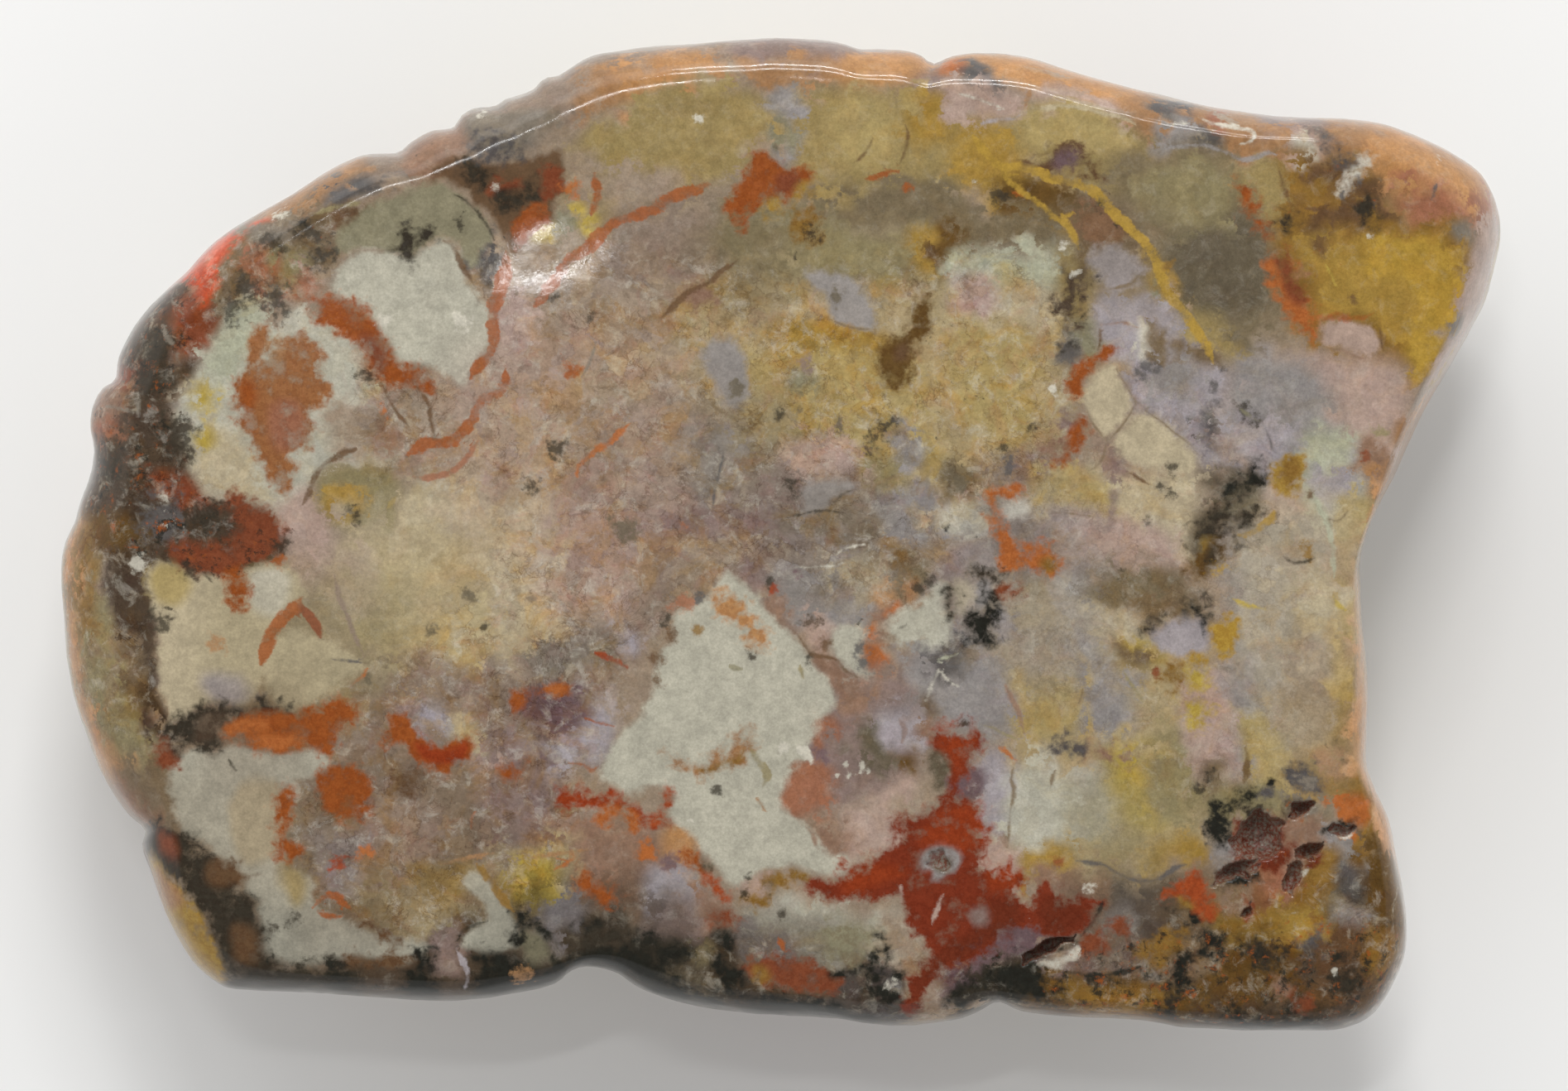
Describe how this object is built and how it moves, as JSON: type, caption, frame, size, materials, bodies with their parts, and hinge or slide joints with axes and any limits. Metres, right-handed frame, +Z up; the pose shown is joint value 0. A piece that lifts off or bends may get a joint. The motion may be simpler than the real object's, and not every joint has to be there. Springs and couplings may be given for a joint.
{
  "type": "coprolite",
  "caption": "Polished agatised coprolite: a flat, sawn and polished face over a lumpy, tumble-smoothed back that rests on a small flat spot.",
  "frame": {"origin": "centre of the bounding box's underside, on the flat spot that the stone rests on", "axes": "+X along the long side, towards the horn and the waist; +Y across, towards the lobed long edge; +Z up, out of the polished face"},
  "size_m": [0.09, 0.0618, 0.0223],
  "materials": {
    "agate": "polished"
  },
  "bodies": {
    "root": {"coprolite": "agate"}
  },
  "joints": []
}
